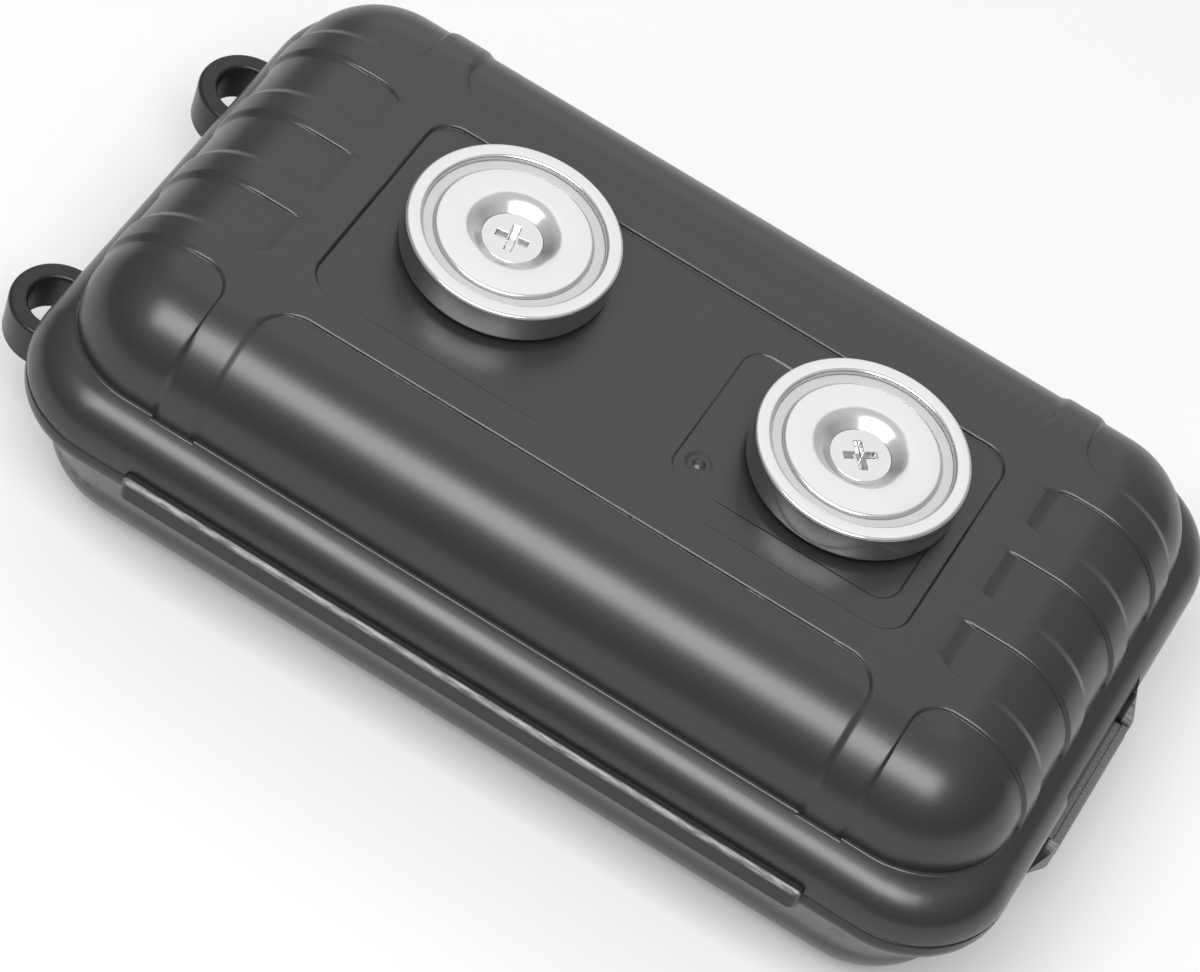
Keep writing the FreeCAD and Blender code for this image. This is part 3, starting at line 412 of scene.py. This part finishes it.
def skin_lines():
    """Mesh lines of the flat top, close together in the zones where borders run."""
    # the label's and side panels' ends, and the roots of the end panels
    x_zones = both_sides((48.2, 51.0, FINE), (43.8, 48.2, MEDIUM), (55.0, 57.4, FINE),
                         (57.4, 61.3, MEDIUM))
    # the plate's two ends, with the moulding mark beside the first
    x_zones += [(7.9, 8.9, FINE), (8.9, 14.4, MEDIUM), (41.4, 44.9, MEDIUM), (44.9, 45.9, FINE)]
    x_zones += [(x - HOLE_ZONE, x + HOLE_ZONE, ROUGH) for x, _ in SCREW_HOLES]
    # the ribs' sides and the label's long edges
    y_zones = both_sides((3.9, 5.6, FINE), (9.5, 11.2, FINE), (15.3, 19.0, MEDIUM),
                         (19.0, 20.8, FINE), (24.6, 26.3, FINE), (26.3, 27.9, MEDIUM))
    # the plate's long edges and the moulding mark
    y_zones += [(-15.5, -14.5, FINE), (-14.5, -12.8, MEDIUM), (-12.8, -8.4, MEDIUM),
                (9.2, 12.7, MEDIUM), (12.7, 13.7, FINE)]
    y_zones += [(y - HOLE_ZONE, y + HOLE_ZONE, ROUGH) for _, y in SCREW_HOLES]
    half_x, half_y = CROWN_HALF[0] - CROWN_CORNER, CROWN_HALF[1] - CROWN_CORNER
    return lines(half_x, x_zones, COARSE_X), lines(half_y, y_zones, COARSE_Y)


def rim_profile():
    """Rings outside the flat middle: reach from it, height, lean of the surface."""
    flat = CROWN_CORNER - CROWN_EDGE
    centre = CROWN_TOP - CROWN_EDGE
    rings = []
    for reach in np.arange(RIM_STEP, RIM_NEAR, RIM_STEP):
        lean = math.asin(max(reach - flat, 0.0) / CROWN_EDGE)
        rings.append((reach, centre + CROWN_EDGE * math.cos(lean), lean))
    for lean in np.linspace(rings[-1][2], math.pi / 2, RIM_TURNS)[1:]:
        reach = flat + CROWN_EDGE * math.sin(lean)
        rings.append((reach, centre + CROWN_EDGE * math.cos(lean), lean))
    rings += [(CROWN_CORNER, z, math.pi / 2) for z in (CROWN_WAIST, CROWN_FOOT)]
    return rings


def crown_skin():
    """Vertices and faces of the ribbed outside, with soft borders to its panels."""
    xs, ys = skin_lines()
    nx, ny = len(xs), len(ys)
    gx, gy = np.meshgrid(xs, ys)
    top = np.stack([gx.ravel(), gy.ravel(), np.full(nx * ny, CROWN_TOP)], axis=1)
    up = np.tile((0.0, 0.0, 1.0), (nx * ny, 1))
    faces = [(j * nx + i, j * nx + i + 1, (j + 1) * nx + i + 1, (j + 1) * nx + i)
             for j in range(ny - 1) for i in range(nx - 1)]
    # the way round: grid vertex and outward direction of each rim vertex
    bottom = list(range(nx))
    right = [j * nx + nx - 1 for j in range(ny)]
    back = [(ny - 1) * nx + i for i in reversed(range(nx))]
    left = [j * nx for j in reversed(range(ny))]
    root, angle = [], []
    for side, row in enumerate((bottom, right, back, left)):
        start = -90.0 + 90.0 * side
        root += row + [row[-1]] * (ARC_STEPS - 1)
        angle += [start] * len(row)
        angle += [start + 90.0 * k / ARC_STEPS for k in range(1, ARC_STEPS)]
    angle = np.radians(angle)
    out = np.stack([np.cos(angle), np.sin(angle)], axis=1)
    base = top[root][:, :2]
    count = len(root)
    points, normals = [top], [up]
    inner = list(root)
    begin = nx * ny
    for reach, height, lean in rim_profile():
        ring = np.column_stack([base + out * reach, np.full(count, height)])
        points.append(ring)
        normals.append(np.column_stack([out * math.sin(lean), np.full(count, math.cos(lean))]))
        outer = list(range(begin, begin + count))
        for k in range(count):
            n = (k + 1) % count
            face = [inner[k], outer[k], outer[n]]
            if inner[n] != inner[k]:
                face.append(inner[n])
            faces.append(tuple(face))
        inner = outer
        begin += count
    points, normals = np.concatenate(points), np.concatenate(normals)
    points -= normals * sunk(points[:, 0], points[:, 1])[:, None]
    return pierced(points, faces)


def pierced(points, faces):
    """Open round screw holes in the skin and fit their edges to them."""
    for x, y in SCREW_HOLES:
        away = np.hypot(points[:, 0] - x, points[:, 1] - y)
        within = (away < SCREW_HOLE_RADIUS) & (points[:, 2] > CROWN_TOP - HOLE_REACH)
        cut = [f for f in faces if within[list(f)].any()]
        faces = [f for f in faces if not within[list(f)].any()]
        for v in {v for f in cut for v in f if not within[v]}:
            scale = SCREW_HOLE_RADIUS / away[v]
            points[v, 0] = x + (points[v, 0] - x) * scale
            points[v, 1] = y + (points[v, 1] - y) * scale
    return points, faces


def height_over_crown(points):
    """Distance of points outside the plain crown, without its panels."""
    across = np.abs(points[:, 0]) - (CROWN_HALF[0] - CROWN_CORNER)
    along = np.abs(points[:, 1]) - (CROWN_HALF[1] - CROWN_CORNER)
    reach = np.hypot(np.maximum(across, 0), np.maximum(along, 0))
    reach += np.minimum(np.maximum(across, along), 0)
    flat, centre = CROWN_CORNER - CROWN_EDGE, CROWN_TOP - CROWN_EDGE
    rounded = np.hypot(reach - flat, points[:, 2] - centre) - CROWN_EDGE
    wall = reach - CROWN_CORNER
    top = points[:, 2] - CROWN_TOP
    return np.where(points[:, 2] < centre, wall, np.where(reach > flat, rounded, top))


def islands(mesh):
    """A number for each vertex: the lowest vertex of its own surface patch."""
    label = list(range(len(mesh.vertices)))

    def find(v):
        while label[v] != v:
            label[v] = label[label[v]]
            v = label[v]
        return v

    for edge in mesh.edges:
        a, b = find(edge.vertices[0]), find(edge.vertices[1])
        label[max(a, b)] = min(a, b)
    return np.array([find(v) for v in range(len(label))])


# The skin takes over a patch of the solid that keeps between these distances from the plain
# crown and reaches above this height.
PATCH_LOWEST, PATCH_HIGHEST = -1.15, 0.05
PATCH_ABOVE = 35.57


def shell_without_crown(node):
    """The solid's mesh with the patches that the skin takes over left out."""
    mesh = node.data
    points = np.array([v.co for v in mesh.vertices]) / MM
    patch = islands(mesh)
    over = height_over_crown(points)
    gone = set()
    for name in set(patch):
        own = patch == name
        near = over[own].max() < PATCH_HIGHEST and over[own].min() > PATCH_LOWEST
        if near and points[own, 2].max() > PATCH_ABOVE:
            gone.add(name)
    kept = bmesh.new()
    kept.from_mesh(mesh)
    kept.verts.ensure_lookup_table()
    bmesh.ops.delete(kept, geom=[v for v in kept.verts if patch[v.index] in gone], context="VERTS")
    bmesh.ops.remove_doubles(kept, verts=kept.verts, dist=WELD_DISTANCE * MM)
    bmesh.ops.dissolve_limit(kept, angle_limit=FLAT_ANGLE, verts=kept.verts, edges=kept.edges)
    sharp = [e for e in kept.edges
             if len(e.link_faces) == 2 and e.calc_face_angle(0) > SHARP_EDGE]
    bmesh.ops.bevel(kept, geom=sharp, offset=MOULDED_EDGE * MM, segments=2, profile=0.5,
                    affect="EDGES", clamp_overlap=True)
    return kept


def make_upper_half():
    """The solid's lid without its plain crown, and the ribbed skin in its place."""
    form = shell_without_crown(frame["nodes"]["upper_shell"])
    points, faces = crown_skin()
    skin = bpy.data.meshes.new("crown_skin")
    skin.from_pydata((points * MM).tolist(), [], faces)
    plain_verts, plain_edges = len(form.verts), len(form.edges)
    form.from_mesh(skin)
    form.verts.ensure_lookup_table()
    form.edges.ensure_lookup_table()
    bmesh.ops.dissolve_limit(form, angle_limit=SKIN_FLAT_ANGLE,
                             verts=form.verts[plain_verts:], edges=form.edges[plain_edges:])
    for face in form.faces:
        face.smooth = True
    mesh = bpy.data.meshes.new("upper_half_shell")
    form.to_mesh(mesh)
    form.free()
    mesh.set_sharp_from_angle(angle=SHADING_BREAK)
    mesh.materials.append(MATERIALS["black_abs"])
    shell = bpy.data.objects.new("upper_half_shell", mesh)
    scene.collection.objects.link(shell)
    # the large flat faces keep even shading beside their rounded edges
    shell.modifiers.new("even_shading", "WEIGHTED_NORMAL").keep_sharp = True
    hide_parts("upper_shell")
    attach(shell, "lid")


# ------------------------------------------------------------ pot magnets
# Profiles in mm, as radius and height. A rounded corner has a centre and its own radius.
MAGNETS = {"left": SCREW_HOLES[0], "right": SCREW_HOLES[1]}
TURN_STEPS = 144
CUP_BASE, CUP_FLOOR = 49.9, 51.2
CUP_CORNER = ((14.7, 51.2), 1.3)
CUP_RIM_OUTSIDE, CUP_RIM_INSIDE = ((15.5, 55.3), 0.5), ((14.05, 55.25), 0.55)
CUP_INNER_RADIUS = 13.5
MAGNET_RADIUS = 11.8
MAGNET_CORNER = ((11.25, 54.85), 0.55)
MAGNET_FACE = 55.4
# the magnet's face dips softly between these points, then runs under the screw's head
DIP_START, DIP_PULL, DIP_STOP = (8.0, MAGNET_FACE), (6.7, MAGNET_FACE), (5.6, 54.57)
HEAD_RADIUS, HEAD_EDGE, HEAD_LOW, HEAD_CONE = 4.6, 53.9, 53.55, 1.85
SPACER_OUTSIDE, SPACER_INSIDE = ((13.15, 54.65), 0.35), ((12.15, 54.65), 0.35)


def corner(centre, radius, start, stop, steps=6):
    """Points on an arc of a turned profile, angles in degrees."""
    angles = np.radians(np.linspace(start, stop, steps))
    return [(centre[0] + radius * math.cos(a), centre[1] + radius * math.sin(a)) for a in angles]


def lip(start, pull, stop, steps=9):
    """A soft lip between two points, drawn towards a third."""
    found = []
    for t in np.linspace(0.0, 1.0, steps):
        weights = ((1 - t) ** 2, 2 * t * (1 - t), t * t)
        found.append(tuple(sum(w * p[k] for w, p in zip(weights, (start, pull, stop)))
                           for k in range(2)))
    return found


def turned(name, profile, centre, slot, node):
    """A closed body of revolution that stands for a turned node."""
    rows = len(profile)
    points, faces = [], []
    for turn in range(TURN_STEPS):
        angle = 2 * math.pi * turn / TURN_STEPS
        for radius, height in profile:
            points.append(((centre[0] + radius * math.cos(angle)) * MM,
                           (centre[1] + radius * math.sin(angle)) * MM, height * MM))
        here, after = turn * rows, (turn + 1) % TURN_STEPS * rows
        for k in range(rows):
            n = (k + 1) % rows
            faces.append((here + k, after + k, after + n, here + n))
    mesh = bpy.data.meshes.new(name)
    mesh.from_pydata(points, [], faces)
    for face in mesh.polygons:
        face.use_smooth = True
    mesh.set_sharp_from_angle(angle=SHADING_BREAK)
    mesh.materials.append(MATERIALS[slot])
    piece = bpy.data.objects.new(name, mesh)
    scene.collection.objects.link(piece)
    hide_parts(node)
    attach(piece, "lid")


def make_magnets():
    hole = SCREW_HOLE_RADIUS
    cup = [(hole, CUP_BASE)] + corner(*CUP_CORNER, -90, 0)
    cup += corner(*CUP_RIM_OUTSIDE, 0, 90) + corner(*CUP_RIM_INSIDE, 90, 180)
    cup += [(CUP_INNER_RADIUS, CUP_FLOOR), (hole, CUP_FLOOR)]
    magnet = [(hole, CUP_FLOOR), (MAGNET_RADIUS, CUP_FLOOR)] + corner(*MAGNET_CORNER, 0, 90)
    magnet += lip(DIP_START, DIP_PULL, DIP_STOP)
    magnet += [(HEAD_RADIUS, HEAD_EDGE), (HEAD_RADIUS, HEAD_LOW), (hole, HEAD_LOW - HEAD_CONE)]
    spacer = [(MAGNET_RADIUS, CUP_FLOOR), (CUP_INNER_RADIUS, CUP_FLOOR)]
    spacer += corner(*SPACER_OUTSIDE, 0, 90) + corner(*SPACER_INSIDE, 90, 180)
    for side, place in MAGNETS.items():
        turned(f"{side}_cup_turned", cup, place, "nickel_steel", f"{side}_magnet_cup")
        turned(f"{side}_magnet_turned", magnet, place, "nickel_magnet", f"{side}_ring_magnet")
        turned(f"{side}_spacer_turned", spacer, place, "grey_resin", f"{side}_spacer_ring")


# -------------------------------------------------------------------- stage
# Sizes and places in metres.
FLOOR_HALF = 3.0
FLOOR_BELOW = 0.0002
FLOOR_COLOR = (0.74, 0.74, 0.74)
FLOOR_ROUGH = 0.9
# what is added to the floor where it is seen
FLOOR_LIFT = 0.13
# The sky lights the object evenly. Seen in it, the sky grows from the horizon to its top,
# and glows low down behind the object. Bounds are parts of a direction of length 1.
SKY_SOFT = 0.35
SKY_HORIZON, SKY_TOP = 0.1, 0.75
SKY_RISE_START, SKY_RISE_STOP = 0.0, 0.9
GLOW_LOW, GLOW_GONE = 0.0, 0.75
REAR_GLOW, REAR_START, REAR_FULL = 0.7, 0.55, 0.95
LAMP_TARGET = Vector((0, 0, 0.03))


def seen_directly(tree):
    """1 for what the camera sees, also in a mirror or through glass."""
    path = tree.nodes.new("ShaderNodeLightPath").outputs
    seen = calculate(tree, "MAXIMUM", path["Is Camera Ray"], path["Is Glossy Ray"])
    return calculate(tree, "MAXIMUM", seen, path["Is Transmission Ray"])


def make_floor():
    mesh = bpy.data.meshes.new("floor")
    h = FLOOR_HALF
    mesh.from_pydata([(-h, -h, 0), (h, -h, 0), (h, h, 0), (-h, h, 0)], [], [(0, 1, 2, 3)])
    floor = bpy.data.objects.new("floor", mesh)
    scene.collection.objects.link(floor)
    material, tree, shader = new_material("floor", FLOOR_COLOR)
    shader.inputs["Roughness"].default_value = FLOOR_ROUGH
    shader.inputs["Specular IOR Level"].default_value = 0.0
    shader.inputs["Emission Color"].default_value = (1, 1, 1, 1)
    lift = add_ramp(tree, seen_directly(tree), 0.0, FLOOR_LIFT, 0.0, 1.0)
    tree.links.new(lift, shader.inputs["Emission Strength"])
    mesh.materials.append(material)
    floor.location.z = -FLOOR_BELOW


def make_world():
    """Even soft light, with a sky that shows only where it is seen."""
    world = bpy.data.worlds.new("world")
    world.use_nodes = True
    scene.world = world
    tree = world.node_tree
    tree.nodes.clear()
    output = tree.nodes.new("ShaderNodeOutputWorld")
    background = tree.nodes.new("ShaderNodeBackground")
    background.inputs["Color"].default_value = (1, 1, 1, 1)
    direction = split(tree, tree.nodes.new("ShaderNodeTexCoord").outputs["Generated"])
    rise = add_ramp(tree, direction["Z"], SKY_HORIZON, SKY_TOP, SKY_RISE_START, SKY_RISE_STOP)
    low = add_ramp(tree, direction["Z"], 1.0, 0.0, GLOW_LOW, GLOW_GONE)
    behind = add_ramp(tree, direction["Y"], 0.0, REAR_GLOW, REAR_START, REAR_FULL)
    glow = calculate(tree, "MULTIPLY", low, behind)
    choose = tree.nodes.new("ShaderNodeMix")
    choose.inputs["A"].default_value = SKY_SOFT
    tree.links.new(seen_directly(tree), choose.inputs["Factor"])
    tree.links.new(calculate(tree, "ADD", rise, glow), choose.inputs["B"])
    tree.links.new(choose.outputs["Result"], background.inputs["Strength"])
    tree.links.new(background.outputs[0], output.inputs["Surface"])


def add_lamp(name, azimuth, elevation, distance, width, height, power):
    """A softbox that faces the object. Azimuth 0 is in front, 90 to the right."""
    data = bpy.data.lights.new(name, "AREA")
    data.shape = "RECTANGLE"
    data.size = width
    data.size_y = height
    data.energy = power
    lamp = bpy.data.objects.new(name, data)
    scene.collection.objects.link(lamp)
    a, e = math.radians(azimuth), math.radians(elevation)
    away = Vector((math.sin(a) * math.cos(e), -math.cos(a) * math.cos(e), math.sin(e))) * distance
    aim = (-away).to_track_quat("-Z", "Y").to_matrix().to_4x4()
    lamp.matrix_world = Matrix.Translation(LAMP_TARGET + away) @ aim


make_camera()
dress_nodes()
make_upper_half()
make_magnets()
make_floor()
make_world()
add_lamp("front_softbox", azimuth=0, elevation=62, distance=1.2, width=1.1, height=0.56,
         power=15.3)
add_lamp("rear_softbox", azimuth=200, elevation=42, distance=1.3, width=1.0, height=1.2,
         power=2.25)
